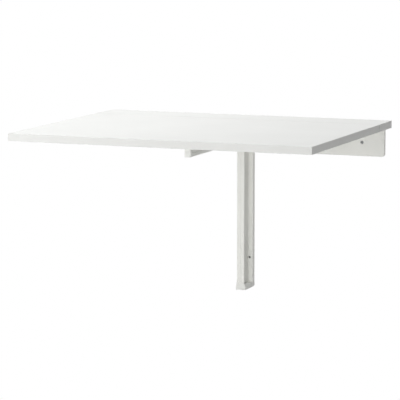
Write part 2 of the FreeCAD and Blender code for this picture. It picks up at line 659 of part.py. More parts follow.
def strap(start, end, half, x0, x1):
    """A straight strip between two (y, z) points."""
    length = math.hypot(end[0] - start[0], end[1] - start[1])
    ny = -(end[1] - start[1]) / length * half
    nz = (end[0] - start[0]) / length * half
    outline = [(start[0] + ny, start[1] + nz), (end[0] + ny, end[1] + nz),
               (end[0] - ny, end[1] - nz), (start[0] - ny, start[1] - nz)]
    return side_plate(outline, x0, x1)


def catch_rivet():
    high, radius = CATCH_RIVET_HEAD
    end = POST_RIGHT + CATCH_RIVET_LENGTH
    shank = rod("x", (POST_RIGHT, CATCH_Y, CATCH_Z), CATCH_RIVET_LENGTH, CATCH_RIVET_R)
    head = rod("x", (end, CATCH_Y, CATCH_Z), high, radius)
    head = head.makeFillet(0.6 * high, edge_circle(head, 0, end + high))
    return join([shank, head])


def catch_spring():
    """Torsion spring round the rivet, between the lever and the rivet's head. Its wire has eight sides."""
    points = []
    for i in range(SPRING_SIDES + 1):
        angle = 2 * math.pi * i / SPRING_SIDES
        across, along = SPRING_WIRE * math.cos(angle), SPRING_WIRE * math.sin(angle)
        points.append(FreeCAD.Vector(SPRING_R + across, 0, along))
    helix = Part.makeHelix(SPRING_PITCH, SPRING_PITCH * SPRING_TURNS, SPRING_R)
    coil = Part.Wire(helix).makePipeShell([Part.makePolygon(points)], True, True)
    coil.rotate(FreeCAD.Vector(0, 0, 0), FreeCAD.Vector(0, 1, 0), 90)
    coil.translate(FreeCAD.Vector(SPRING_X, CATCH_Y, CATCH_Z))
    return coil


# ---- all pieces ----------------------------------------------------------------
def main():
    os.makedirs("parts", exist_ok=True)
    save("shelf_board", board(SHELF_FRONT, -WALL_GAP, SHELF_SCREWS + HINGE_SHELF_SCREWS))
    save("shelf_edging", edging_strips(SHELF_FRONT, -WALL_GAP))
    save("drop_leaf", board(-PROJECTION, LEAF_BACK, HINGE_LEAF_SCREWS))
    save("leaf_edging", edging_strips(-PROJECTION, LEAF_BACK))
    save("wall_plate", wall_plate())
    save("wall_bushes", wall_bushes())
    save("shelf_screws", SHELF_SCREWS)
    for number, x in enumerate(HINGE_XS, 1):
        save(f"hinge_fixed_plate_{number}", hinge_plate(x, 1))
        save(f"hinge_moving_plate_{number}", hinge_plate(x, -1))
        save(f"hinge_pin_{number}", hinge_pin(x))
    save("hinge_shelf_screws", HINGE_SHELF_SCREWS)
    save("hinge_leaf_screws", HINGE_LEAF_SCREWS)
    save("wall_post", wall_post())
    save("post_sleeves", post_sleeves())
    save("post_foot_cap", post_foot_cap())
    save("post_screws", post_screws())
    save("cheek_left", cheek(-1))
    save("cheek_right", cheek(1))
    save("cheek_rivets", cheek_rivets())
    save("pivot_pin", pivot_pin())
    save("pivot_clip", pivot_clip())
    save("pivot_washers", pivot_washers())
    save("support_arm", support_arm())
    save("arm_bushes", arm_bushes())
    save("arm_end_cap", arm_end_cap())
    save("arm_pad", arm_pad())
    save("catch_lever", catch_lever())
    save("catch_rivet", catch_rivet())
    save("catch_spring", catch_spring())


main()
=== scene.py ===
# %% [markdown]
# # A wall mounted drop leaf table
# The construction is loaded as a fixed frame, in metres. This script dresses it: every surface gets its
# finish, and the moulded, pressed and wound pieces are modelled again with their rounded edges.

import json
import math

import bmesh
import bpy
from mathutils import Matrix, Vector


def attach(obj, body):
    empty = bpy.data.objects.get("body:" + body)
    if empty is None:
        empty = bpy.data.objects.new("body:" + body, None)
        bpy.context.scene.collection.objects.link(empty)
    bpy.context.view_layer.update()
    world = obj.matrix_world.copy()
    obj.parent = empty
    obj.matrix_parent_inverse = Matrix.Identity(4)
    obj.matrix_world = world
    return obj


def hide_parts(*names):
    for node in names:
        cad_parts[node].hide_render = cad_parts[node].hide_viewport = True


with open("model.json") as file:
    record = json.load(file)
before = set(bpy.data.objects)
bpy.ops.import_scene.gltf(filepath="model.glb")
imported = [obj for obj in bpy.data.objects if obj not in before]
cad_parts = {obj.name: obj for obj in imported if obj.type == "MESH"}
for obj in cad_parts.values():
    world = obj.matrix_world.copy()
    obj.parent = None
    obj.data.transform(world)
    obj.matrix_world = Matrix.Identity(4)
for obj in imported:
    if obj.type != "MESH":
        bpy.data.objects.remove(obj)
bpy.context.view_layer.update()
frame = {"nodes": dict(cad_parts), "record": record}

# %% [markdown]
# ## Camera
# The table is seen from the right and from a little above, through a long lens that keeps its edges
# nearly parallel. The camera is aimed with two angles, so its place and its aim can be read straight
# from the numbers.

# %% Camera
CAMERA_PLACE = (2.00875, -5.40749, 0.64486)
CAMERA_YAW = math.radians(21.590)
CAMERA_TILT = math.radians(7.9246)
CAMERA_LENS = 209.86

camera_data = bpy.data.cameras.new("camera")
camera_data.lens = CAMERA_LENS
camera_data.sensor_width = 36.0
camera_data.clip_end = 60.0
camera = bpy.data.objects.new("camera", camera_data)
camera.location = CAMERA_PLACE
camera.rotation_euler = (math.pi / 2 - CAMERA_TILT, 0.0, CAMERA_YAW)
bpy.context.scene.collection.objects.link(camera)
bpy.context.scene.camera = camera
print("the camera looks through a lens of", CAMERA_LENS, "mm")

# %% [markdown]
# ## Materials
# Nearly everything here is white, so the finishes differ in what they do to the light: melamine foil is
# smooth and a little cloudy, powder coating has the fine bumps of orange peel, moulded plastic is even,
# zinc is brushed. An image could carry such patterns, but it would need a layout of every surface. Noise
# is worked out at each point in space instead, so it fits any form. The patterns read Object
# coordinates, which are metres in the frame: a scale of 1000 gives about one bump to each millimetre.

# %% Material helpers
EDGE_RADIUS = 0.0004


def new_material(name, colour, roughness, metallic=0.0, specular=0.5):
    """A shader with its plain values set on its own sockets."""
    material = bpy.data.materials.new(name)
    material.use_nodes = True
    shader = material.node_tree.nodes["Principled BSDF"]
    shader.inputs["Base Color"].default_value = (*colour, 1.0)
    shader.inputs["Roughness"].default_value = roughness
    shader.inputs["Metallic"].default_value = metallic
    shader.inputs["Specular IOR Level"].default_value = specular
    return material, shader


def noise(material, scale, detail=2.0, stretch=(1.0, 1.0, 1.0)):
    """A noise pattern on Object coordinates, with scale bumps to the metre."""
    tree = material.node_tree
    place = tree.nodes.new("ShaderNodeTexCoord")
    mapping = tree.nodes.new("ShaderNodeMapping")
    mapping.inputs["Scale"].default_value = stretch
    pattern = tree.nodes.new("ShaderNodeTexNoise")
    pattern.inputs["Scale"].default_value = scale
    pattern.inputs["Detail"].default_value = detail
    tree.links.new(place.outputs["Object"], mapping.inputs["Vector"])
    tree.links.new(mapping.outputs["Vector"], pattern.inputs["Vector"])
    return pattern.outputs["Fac"]


def spread(material, value, low, high):
    """Turns the middle of a noise pattern into numbers from low to high."""
    node = material.node_tree.nodes.new("ShaderNodeMapRange")
    node.inputs["From Min"].default_value = 0.3
    node.inputs["From Max"].default_value = 0.7
    node.inputs["To Min"].default_value = low
    node.inputs["To Max"].default_value = high
    material.node_tree.links.new(value, node.inputs["Value"])
    return node.outputs["Result"]


def tint(material, shader, value, first, second):
    """Blends two colours by a pattern."""
    node = material.node_tree.nodes.new("ShaderNodeMix")
    node.data_type = "RGBA"
    node.inputs["A"].default_value = (*first, 1.0)
    node.inputs["B"].default_value = (*second, 1.0)
    material.node_tree.links.new(value, node.inputs["Factor"])
    material.node_tree.links.new(node.outputs["Result"], shader.inputs["Base Color"])


def relief(material, shader, value, height, edge=EDGE_RADIUS):
    """Bumps of the given height in metres, on a surface whose edges are eased by a small radius."""
    tree = material.node_tree
    eased = tree.nodes.new("ShaderNodeBevel")
    eased.samples = 4
    eased.inputs["Radius"].default_value = edge
    node = tree.nodes.new("ShaderNodeBump")
    node.inputs["Strength"].default_value = 1.0
    node.inputs["Distance"].default_value = height
    tree.links.new(value, node.inputs["Height"])
    tree.links.new(eased.outputs["Normal"], node.inputs["Normal"])
    tree.links.new(node.outputs["Normal"], shader.inputs["Normal"])


# %% [markdown]
# ## White finishes
# A white surface is never one colour. Foil is printed and pressed, powder melts and flows, plastic
# shrinks as it cools, and each leaves soft clouds that are seen at arm's length and a fine skin that is
# seen close up. So each finish takes two shades a little apart, blended by a large noise, and a small
# noise that moves both the gloss and the surface. The steel and the plastic are a warmer white than the
# foil.

# %% White finishes
def white_finish(name, colour, darker, roughness, grain, height, cloud=6.0, specular=0.5):
    """A white surface: cloudy in colour at arm's length, finely bumped close up."""
    material, shader = new_material(name, colour, roughness, specular=specular)
    clouds = spread(material, noise(material, cloud), 0.0, 1.0)
    tint(material, shader, clouds, colour, darker)
    fine = noise(material, grain, detail=3.0)
    material.node_tree.links.new(spread(material, fine, roughness - 0.06, roughness + 0.06),
                                 shader.inputs["Roughness"])
    relief(material, shader, fine, height)
    print(name, "is a white finish with", len(material.node_tree.nodes), "nodes")
    return material


foil = white_finish("melamine_foil", (0.83, 0.835, 0.82), (0.81, 0.815, 0.80), 0.5, 1400.0, 0.00002,
                    specular=0.008)
edging = white_finish("edging_strip", (0.80, 0.803, 0.782), (0.785, 0.788, 0.767), 0.45, 900.0, 0.00002,
                      specular=0.12)
coating = white_finish("powder_coating", (0.86, 0.86, 0.82), (0.84, 0.84, 0.80), 0.5, 650.0, 0.00007,
                       specular=0.3)
moulded = white_finish("moulded_plastic", (0.825, 0.83, 0.795), (0.81, 0.815, 0.78), 0.45, 500.0, 0.00002,
                       specular=0.3)
nylon = white_finish("nylon", (0.74, 0.74, 0.70), (0.70, 0.70, 0.66), 0.4, 600.0, 0.00002)
# The grey's lightness is set so that the bush skins, which are painted shade, give the holes their dark
# tone.
grey = white_finish("grey_plastic", (0.52, 0.525, 0.53), (0.48, 0.485, 0.49), 0.55, 600.0, 0.00003,
                    specular=0.3)

# %% [markdown]
# ## Metals and rubber
# The hinges and screws are zinc plated. Rolling and plating leave fine lines, so the noise is stretched:
# a small number in stretch makes the bumps long in that direction. The lines darken the metal, roughen
# it and stand out by a hundredth of a millimetre. Rubber is close to black, almost without gloss, and
# dusty in patches.

# %% Metals and rubber
def metal_finish(name, colour, darker, roughness, stretch):
    """Bare or plated metal with fine lines along one axis."""
    material, shader = new_material(name, colour, roughness, metallic=1.0)
    lines = noise(material, 500.0, detail=4.0, stretch=stretch)
    tint(material, shader, spread(material, lines, 0.0, 1.0), colour, darker)
    material.node_tree.links.new(spread(material, lines, roughness - 0.08, roughness + 0.1),
                                 shader.inputs["Roughness"])
    relief(material, shader, lines, 0.00001)
    print(name, "is a metal with", len(material.node_tree.nodes), "nodes")
    return material


zinc = metal_finish("zinc_plating", (0.50, 0.51, 0.52), (0.40, 0.41, 0.43), 0.42, (0.08, 1.0, 1.0))
catch_zinc = metal_finish("brushed_zinc", (0.52, 0.53, 0.55), (0.41, 0.42, 0.44), 0.38, (1.0, 1.0, 0.08))
wire = metal_finish("spring_wire", (0.36, 0.37, 0.39), (0.28, 0.29, 0.31), 0.3, (1.0, 1.0, 1.0))

rubber, rubber_shader = new_material("pad_rubber", (0.03, 0.03, 0.03), 0.85, specular=0.3)
dust = spread(rubber, noise(rubber, 180.0), 0.0, 1.0)
tint(rubber, rubber_shader, dust, (0.026, 0.026, 0.027), (0.045, 0.044, 0.042))
relief(rubber, rubber_shader, noise(rubber, 1200.0, detail=3.0), 0.00005)
print("pad_rubber is a dusty black with", len(rubber.node_tree.nodes), "nodes")

# %% [markdown]
# ## Dress the construction
# The record names a material slot for every node, so one table from slot to finish dresses them all. A
# node whose own solid is right, such as a board or a folded sheet, keeps it and only gets its finish
# here. The eased edges come from the material, because the solids are loose triangles that a bevel can't
# follow.

# %% Dress the nodes
FINISHES = {
    "white_foil": foil,
    "white_edging": edging,
    "white_steel": coating,
    "white_plastic": moulded,
    "grey_plastic": grey,
    "zinc_steel": zinc,
    "catch_steel": catch_zinc,
    "spring_steel": wire,
    "nylon": nylon,
    "pad_rubber": rubber,
}
for subpart in frame["record"]["subparts"]:
    node = frame["nodes"][subpart["node"]]
    node.data.materials.clear()
    node.data.materials.append(FINISHES[subpart["material_slot"]])

# %% [markdown]
# ## Outlines and lofts
# The pieces below are drawn in millimetres, as in a workshop drawing, and scaled to metres at the end.
# Each starts from a few vertices, and operators do the rest. A vertex bevel rounds the corners of a flat
# outline, as a radius in a drawing does. Bridging joins one outline to the next and makes a moulding's
# skin, which follows every change of its section, and a primitive with a modifier wouldn't.

# %% Outlines and lofts
MM = 0.001
POST_X = -6.0


def rounded(corners, cuts, steps=5):
    """Rounds a flat outline with vertex bevels. Each cut is how far its bevel reaches."""
    bm = bmesh.new()
    verts = [bm.verts.new((x, y, 0.0)) for x, y in corners]
    bm.faces.new(verts)
    if not isinstance(cuts, (list, tuple)):
        cuts = [cuts] * len(corners)
    for vert, cut in zip(verts, cuts):
        bmesh.ops.bevel(bm, geom=[vert], offset=cut, offset_type="OFFSET", affect="VERTICES",
                        segments=steps, profile=0.5, material=-1)
    bm.faces.ensure_lookup_table()
    outline = [tuple(loop.vert.co.xy) for loop in bm.faces[0].loops]
    bm.free()
    return outline


def loft(bm, sections, closed=(True, True)):
    """Draws each section as a loop of edges and bridges it to the one before. Gives back the loops."""
    loops = []
    for section in sections:
        verts = [bm.verts.new(point) for point in section]
        loops.append([bm.edges.new(pair) for pair in zip(verts, verts[1:] + verts[:1])])
    for low, high in zip(loops, loops[1:]):
        bmesh.ops.bridge_loops(bm, edges=low + high)
    for loop, wanted in zip((loops[0], loops[-1]), closed):
        if wanted:
            bmesh.ops.edgeloop_fill(bm, edges=loop)
    return loops


# %% [markdown]
# ## Cuts
# Pockets, holes and drives are cut out of a finished form, as a drill or a punch would. The Boolean
# modifier does it on two objects that live only for the cut. Its exact solver is slower than the fast
# one, but it gives a closed skin also where the faces of the two forms lie close together.

# %% Cuts
def cut_with(bm, cutter):
    """Subtracts the cutter from bm and returns the result as a new bmesh."""
    objects = []
    for name, source in (("blank", bm), ("cutter", cutter)):
        bmesh.ops.recalc_face_normals(source, faces=source.faces)
        mesh = bpy.data.meshes.new(name)
        source.to_mesh(mesh)
        source.free()
        objects.append(bpy.data.objects.new(name, mesh))
        bpy.context.scene.collection.objects.link(objects[-1])
    blank, tool = objects
    modifier = blank.modifiers.new("cut", "BOOLEAN")
    modifier.operation = "DIFFERENCE"
    modifier.solver = "EXACT"
    modifier.object = tool
    shape = bpy.data.meshes.new_from_object(blank.evaluated_get(bpy.context.evaluated_depsgraph_get()))
    result = bmesh.new()
    result.from_mesh(shape)
    for item in objects:
        mesh = item.data
        bpy.data.objects.remove(item)
        bpy.data.meshes.remove(mesh)
    bpy.data.meshes.remove(shape)
    return result


# %% [markdown]
# ## Placing a piece
# A finished piece says three things: which body it moves with, which node of the construction it stands
# for, and what it is made of. Its object stays at the origin, and its place is in its mesh, as with the
# construction's own nodes, so that patterns line up and nothing slides when a joint turns.

# %% Place a piece
PIECE_MERGE = 0.0005


def place_piece(name, bm, body, material, nodes, sharp=35.0):
    """Turns the bmesh into a finished piece: smooth shading, a material, and its place in the frame."""
    bmesh.ops.remove_doubles(bm, verts=bm.verts, dist=PIECE_MERGE)
    bmesh.ops.recalc_face_normals(bm, faces=bm.faces)
    open_edges = sum(1 for edge in bm.edges if len(edge.link_faces) != 2)
    bmesh.ops.scale(bm, vec=(MM, MM, MM), verts=bm.verts)
    mesh = bpy.data.meshes.new(name)
    bm.to_mesh(mesh)
    bm.free()
    mesh.shade_smooth()
    mesh.set_sharp_from_angle(angle=math.radians(sharp))
    mesh.materials.append(material)
    piece = bpy.data.objects.new(name, mesh)
    bpy.context.scene.collection.objects.link(piece)
    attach(piece, body)
    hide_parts(*nodes)
    print(name, "has", len(mesh.polygons), "faces and", open_edges, "open edges")


# %% [markdown]
# ## Foot cap of the post
# A moulded plastic cup closes the lower end of the post. It could be cut from a block, but a moulding
# has no sharp edge and its walls lean a little, so it is lofted: one rounded outline is repeated at
# eleven heights, first growing to the sides in a soft S, then upright, then rolled in at the bottom
# edge. The bottom slants up towards the wall. The pocket that takes the post is cut out last, in the
# post's own outline.

# %% Foot cap
CAP_TOP, CAP_FULL = -363.0, -371.0
CAP_FRONT_BOTTOM, CAP_BACK_BOTTOM = -379.7, -372.8
CAP_BACK, CAP_SHOULDER, CAP_FRONT = 0.0, -9.9, -41.1
CAP_WIDE, CAP_SLIM, CAP_FLARE = 22.1, 9.6, 12.5
CAP_CUTS = [0.3, 0.6, 1.7, 1.7, 0.6, 0.3]
CAP_LIP, CAP_LIP_IN = 0.5, 0.35
CAP_RIM = ((0.0, 1.2), (0.2, 0.55), (0.6, 0.15), (1.2, 0.0))
POST_END = -369.5
POCKET_SLIM, POCKET_WIDE = 9.05, 21.55
POCKET_FRONT, POCKET_STEP, POCKET_BACK = -40.55, -11.55, 1.0
POCKET_CUTS = [0.1, 2.2, 1.2, 2.2, 2.2, 1.2, 2.2, 0.1]


def cap_section(slim, shrink, front, back):
    """The cap's outline, slim half wide in front, at the heights that front and back give."""
    wide = CAP_WIDE - shrink
    corners = [(-wide, CAP_BACK), (-wide, CAP_SHOULDER), (-slim + shrink, CAP_FRONT + shrink),
               (slim - shrink, CAP_FRONT + shrink), (wide, CAP_SHOULDER), (wide, CAP_BACK)]
    outline = rounded(corners, CAP_CUTS)
    slope = (back - front) / (CAP_BACK - CAP_FRONT)
    return [(POST_X + x, y, front + slope * (y - CAP_FRONT)) for x, y in outline]


foot = bmesh.new()
sections = [cap_section(CAP_SLIM, CAP_LIP_IN, CAP_TOP, CAP_TOP)]
for part in (0.0, 0.2, 0.4, 0.6, 0.8, 1.0):
    eased = part * part * (3 - 2 * part)
    height = CAP_TOP - CAP_LIP + (CAP_FULL - CAP_TOP + CAP_LIP) * part
    sections.append(cap_section(CAP_SLIM + (CAP_FLARE - CAP_SLIM) * eased, 0.0, height, height))
for shrink, lift in CAP_RIM:
    sections.append(cap_section(CAP_FLARE, shrink, CAP_FRONT_BOTTOM + lift, CAP_BACK_BOTTOM + lift))
loft(foot, sections)
half_hat = [(POCKET_SLIM, POCKET_FRONT), (POCKET_SLIM, POCKET_STEP), (POCKET_WIDE, POCKET_STEP),
            (POCKET_WIDE, POCKET_BACK)]
hat = rounded([(-x, y) for x, y in reversed(half_hat)] + half_hat, POCKET_CUTS)
pocket = bmesh.new()
loft(pocket, [[(POST_X + x, y, z) for x, y in hat] for z in (POST_END, CAP_TOP + 5.0)])
place_piece("foot_cap", cut_with(foot, pocket), "frame", moulded, ["post_foot_cap"],
            sharp=50.0)

# %% [markdown]
# ## End cap of the arm
# The cap is the front face of the arm: a shallow sleeve with a flat face. A box with a Bevel modifier
# would round every edge alike, but a moulding has a soft front edge and a thin rim, so it is lofted
# along Y through rounded rectangles. The first ones grow to give the face its soft edge, the last one is
# the rim that grips the arm. The arm itself fills the sleeve, so the loft stays open there.

# %% End cap
SLEEVE_FRONT, SLEEVE_BACK = -395.0, -387.0
SLEEVE_HALF, SLEEVE_LOW, SLEEVE_HIGH = 7.8, -7.0, 34.9
SLEEVE_ROUND, SLEEVE_RIM_IN = 2.0, 0.6
SLEEVE_STEPS = ((0.0, 1.2), (0.1, 0.7), (0.35, 0.3), (0.75, 0.08), (1.2, 0.0), (4.5, 0.0), (7.8, 0.05),
                (8.0, 0.2))


def sleeve_section(y, shrink):
    """A rounded rectangle across the arm, pulled in by shrink on every side."""
    left, right = POST_X - SLEEVE_HALF + shrink, POST_X + SLEEVE_HALF - shrink
    low, high = SLEEVE_LOW + shrink, SLEEVE_HIGH - shrink
    corners = [(left, low), (right, low), (right, high), (left, high)]
    return [(x, y, z) for x, z in rounded(corners, SLEEVE_ROUND - 0.5 * shrink)]


sleeve = bmesh.new()
sections = [sleeve_section(SLEEVE_FRONT + depth, shrink) for depth, shrink in SLEEVE_STEPS]
sections.append(sleeve_section(SLEEVE_BACK, SLEEVE_RIM_IN))
loft(sleeve, sections, closed=(True, False))
place_piece("arm_cap", sleeve, "arm", moulded, ["arm_end_cap"], sharp=50.0)

# %% [markdown]
# ## Pad on the arm
# The leaf rests on a strip of rubber. A plain block would squeak and slip, so such pads are extruded
# with low ribs along their length. The section across the arm is drawn once with five ribs and lofted
# along Y, with the last millimetre at each end pulled in.

# %% Pad
PAD_FRONT, PAD_BACK = -381.0, -321.0
PAD_LOW, PAD_HIGH, PAD_HALF, PAD_RIBS = 34.3, 37.8, 5.5, 5
PAD_ENDS = ((0.0, 0.8), (0.3, 0.25), (1.0, 0.0))
RIB = ((0.04, 0.9), (0.14, 0.25), (0.3, 0.0), (0.7, 0.0), (0.86, 0.25), (0.96, 0.9))


def pad_section(y, pull):
    """The ribbed section at y. RIB draws each rib: place in the pitch, and depth below the top."""
    half = PAD_HALF - pull
    pitch = 2 * half / PAD_RIBS
    outline = [(-half, PAD_LOW)]
    for rib in range(PAD_RIBS):
        outline += [(-half + pitch * (rib + place), PAD_HIGH - drop - pull) for place, drop in RIB]
    outline.append((half, PAD_LOW))
    return [(POST_X + x, y, z) for x, z in outline]


pad = bmesh.new()
pulls = [(PAD_FRONT + depth, pull) for depth, pull in PAD_ENDS]
pulls += [(PAD_BACK - depth, pull) for depth, pull in reversed(PAD_ENDS)]
loft(pad, [pad_section(y, pull) for y, pull in pulls])
place_piece("pad_ribbed", pad, "arm", rubber, ["arm_pad"])

# %% [markdown]
# ## Turned forms and copies
# Screws, rivets, pins and bushes are round, and a lathe makes them all from half of their outline. The
# spin does the same: it carries one profile once round the Z axis. Each form is made once, at the
# origin, and then copied to its places with a matrix, so that all heads of a kind are alike.

# %% Turned forms and copies
AXIS_MERGE = 0.0001


def turned(profile, steps=32):
    """Spins (radius, height) points once round the local Z axis. A radius of 0 closes the form there."""
    bm = bmesh.new()
    verts = [bm.verts.new((radius, 0.0, height)) for radius, height in profile]
    edges = [bm.edges.new(pair) for pair in zip(verts, verts[1:])]
    bmesh.ops.spin(bm, geom=verts + edges, cent=(0.0, 0.0, 0.0), axis=(0.0, 0.0, 1.0),
                   dvec=(0.0, 0.0, 0.0), angle=2 * math.pi, steps=steps, use_merge=True,
                   use_duplicate=False)
    bmesh.ops.remove_doubles(bm, verts=bm.verts, dist=AXIS_MERGE)
    bmesh.ops.recalc_face_normals(bm, faces=bm.faces)
    return bm


def copies(master, matrices):
    """One bmesh that holds a copy of master for each matrix."""
    mesh = bpy.data.meshes.new("master")
    master.to_mesh(mesh)
    master.free()
    bm = bmesh.new()
    for matrix in matrices:
        before = len(bm.verts)
        bm.from_mesh(mesh)
        bm.verts.ensure_lookup_table()
        bmesh.ops.transform(bm, matrix=matrix, verts=bm.verts[before:])
    bpy.data.meshes.remove(mesh)
    return bm


def placed(place, facing, turn=0.0):
    """The matrix that turns a form about its own axis, tips it to its facing and moves it to its place."""
    return Matrix.Translation(place) @ facing @ Matrix.Rotation(turn, 4, "Z")


# %% [markdown]
# ## Screws
# Every screw head is a profile turned about its axis. The drive is then cut out of it with a tapered
# cutter, as a punch forms it: a cross for the wood screws, a hexagon for the two machine screws. One
# head of each kind is made and copied to its places, each turned a little further, because no two screws
# stop at the same angle.

# %% Screws
UNDER_Z, PLATE_UNDER = 38.0, 36.0
LEDGE_SCREW_XS = (-320.0, -200.0, -80.0, 80.0, 200.0, 320.0)
LEDGE_SCREW_Y = -28.0
HINGE_XS = (-285.0, -105.0, 105.0, 285.0)
HINGE_SCREW_XS = [hinge_x + x for hinge_x in HINGE_XS for x in (-20.0, 0.0, 20.0)]
HINGE_SCREW_OFF = 18.0
HINGE_Y, HINGE_Z = -103.0, 35.0
POST_SCREW_OUT, POST_SCREW_Y, POST_SCREW_Z = 14.3, -14.1, 16.0
PAN_HIGH, PAN_DRIVE, FLAT_DRIVE, SOCKET_DRIVE = 2.4, 1.5, 1.0, 1.3
FLAT_SUNK, SOCKET_PUNCH = 0.5, 3.0
LEDGE_TURN, HINGE_TURN, POST_TURN = 0.3, 0.7, 0.4
UPSIDE_DOWN = Matrix.Rotation(math.pi, 4, "X")
OUT_OF_WALL = Matrix.Rotation(math.pi / 2, 4, "X")


def cross_punch(reach, width, depth):
    """A cross that narrows as it goes down to Z = 0 from the face at Z = depth."""
    sections = []
    for level, scale in ((0.0, 0.55), (depth, 1.0), (depth + 1.0, 1.0)):
        a, b = reach * scale, width * (0.75 + 0.25 * scale)
        corners = [(a, -b), (a, b), (b, b), (b, a), (-b, a), (-b, b), (-a, b), (-a, -b), (-b, -b),
                   (-b, -a), (b, -a), (b, -b)]
        sections.append([(x, y, level) for x, y in corners])
    punch = bmesh.new()
    loft(punch, sections)
    return punch


def screw_head(profile, punch, depth):
    """A turned head with its face at Z = 0 and the punch driven into it."""
    bmesh.ops.translate(punch, verts=punch.verts, vec=(0.0, 0.0, -depth))
    return cut_with(turned(profile, steps=40), punch)


pan_profile = [(0, 0.0), (1.4, -0.02), (2.5, -0.2), (3.3, -0.6), (3.8, -1.15), (3.97, -1.7), (4.0, -2.1),
               (3.95, -2.3), (3.8, -PAN_HIGH), (2.0, -PAN_HIGH), (2.0, -8.0), (1.5, -9.0), (0, -9.0)]
pan_head = screw_head(pan_profile, cross_punch(2.0, 0.42, PAN_DRIVE), PAN_DRIVE)
places = [placed((x, LEDGE_SCREW_Y, PLATE_UNDER - PAN_HIGH), UPSIDE_DOWN, turn=LEDGE_TURN * i)
          for i, x in enumerate(LEDGE_SCREW_XS)]
place_piece("ledge_screw_heads", copies(pan_head, places), "frame", zinc, ["shelf_screws"])

flat_profile = [(0, 0.05), (3.3, 0.05), (3.5, 0.0), (3.58, -0.12), (1.8, -1.5), (1.8, -6.0), (1.2, -7.0),
                (0, -7.0)]


def hinge_screws(name, body, node, y):
    """Countersunk screws in a row along X, their heads in the hinge plates."""
    flat_head = screw_head(flat_profile, cross_punch(2.0, 0.4, FLAT_DRIVE), FLAT_DRIVE)
    row = [placed((x, y, PLATE_UNDER + FLAT_SUNK), UPSIDE_DOWN, turn=HINGE_TURN * i)
           for i, x in enumerate(HINGE_SCREW_XS)]
    place_piece(name, copies(flat_head, row), body, zinc, [node])


hinge_screws("shelf_hinge_screw_heads", "frame", "hinge_shelf_screws", HINGE_Y + HINGE_SCREW_OFF)
hinge_screws("leaf_hinge_screw_heads", "leaf", "hinge_leaf_screws", HINGE_Y - HINGE_SCREW_OFF)

socket = bmesh.new()
bmesh.ops.create_cone(socket, cap_ends=True, segments=6, radius1=1.9, radius2=2.1, depth=SOCKET_PUNCH)
bmesh.ops.translate(socket, verts=socket.verts, vec=(0.0, 0.0, SOCKET_PUNCH / 2))
button_profile = [(0, 0.0), (2.2, 0.0), (2.4, -0.08), (3.1, -0.55), (3.6, -1.2), (3.8, -1.9), (3.8, -2.5),
                  (3.7, -2.6), (2.0, -2.6), (2.0, -9.0), (0, -9.0)]
button_head = screw_head(button_profile, socket, SOCKET_DRIVE)
places = [placed((POST_X + x, POST_SCREW_Y, POST_SCREW_Z), OUT_OF_WALL, turn=POST_TURN * x)
          for x in (-POST_SCREW_OUT, POST_SCREW_OUT)]
place_piece("post_screw_heads", copies(button_head, places), "frame", zinc, ["post_screws"])

# %% [markdown]
# ## Hinges
# A real hinge leaf is one strip of sheet whose end is rolled round the pin, not a plate stuck to a tube.
# Spinning does just that: the cut end of the strip is carried 280 degrees round the pin's axis and
# leaves the rolled part behind it. The flat plate has two rounded corners and cone shaped holes, in
# which the screw heads sit.

# %% Hinges
SHEET, KNUCKLE_R, PIN_R, PIN_PLAY = 1.5, 2.6, 1.5, 0.05
CLEAR, BEND, BEND_DROP = 3.1, 1.6, 0.1
REACH, HINGE_HALF = 28.0, 30.0
PLATE_CUTS = [0.05, 3.0, 3.0, 0.05]
CURL, CURL_STEPS = math.radians(280.0), 24
ALONG_X = Matrix.Rotation(math.pi / 2, 4, "Y")


def hinge_nodes(part):
    """The construction's nodes for one part of all the hinges."""
    return [f"hinge_{part}_{number}" for number in range(1, len(HINGE_XS) + 1)]


def only(kind, items):
    """The items of one kind, such as edges, from what an operator gives back."""
    return [item for item in items if isinstance(item, kind)]


def sweep(bm, ring, centre, angle, steps, shift=0.0):
    """Carries a ring of edges about the X axis through centre, with a shift along it at each step."""
    corners = list(dict.fromkeys(vert for edge in ring for vert in edge.verts))
    swept = bmesh.ops.spin(bm, geom=corners + ring, cent=centre, axis=(1.0, 0.0, 0.0),
                           dvec=(shift, 0.0, 0.0), angle=angle, steps=steps, use_merge=False,
                           use_duplicate=False)
    return only(bmesh.types.BMEdge, swept["geom_last"])


def rolled_strip(bm, side, x0, x1):
    """The end of a plate from x0 to x1, bent down to the pin and rolled round it."""
    bore = PIN_R + PIN_PLAY
    sections = []
    for y, low, high in ((CLEAR, UNDER_Z - SHEET, UNDER_Z), (BEND, UNDER_Z - SHEET, UNDER_Z - BEND_DROP),
                         (0.0, HINGE_Z + bore, HINGE_Z + KNUCKLE_R)):
        corners = ((x0, low), (x1, low), (x1, high), (x0, high))
        sections.append([(x, HINGE_Y + side * y, z) for x, z in corners])
    end = loft(bm, sections, closed=(True, False))[-1]
    rolled_end = sweep(bm, end, (x0, HINGE_Y, HINGE_Z), side * CURL, CURL_STEPS)
    bmesh.ops.edgeloop_fill(bm, edges=rolled_end)


def hinge_plates(name, side, spans, body, nodes):
    """All plates of one side: flat parts, rolled parts, then the screw holes."""
    bm = bmesh.new()
    outer, inner = HINGE_Y + side * REACH, HINGE_Y + side * CLEAR
    for hinge_x in HINGE_XS:
        left, right = hinge_x - HINGE_HALF, hinge_x + HINGE_HALF
        outline = rounded([(left, inner), (left, outer), (right, outer), (right, inner)], PLATE_CUTS)
        loft(bm, [[(x, y, z) for x, y in outline] for z in (UNDER_Z - SHEET, UNDER_Z)])
        for first, last in spans:
            rolled_strip(bm, side, hinge_x + first, hinge_x + last)
    cone = turned([(0, -0.4), (3.75, -0.4), (3.6, 0.0), (1.85, 1.5), (1.85, 1.9), (0, 1.9)])
    screw_y = HINGE_Y + side * HINGE_SCREW_OFF
    holes = copies(cone, [Matrix.Translation((x, screw_y, UNDER_Z - SHEET)) for x in HINGE_SCREW_XS])
    place_piece(name, cut_with(bm, holes), body, zinc, nodes)


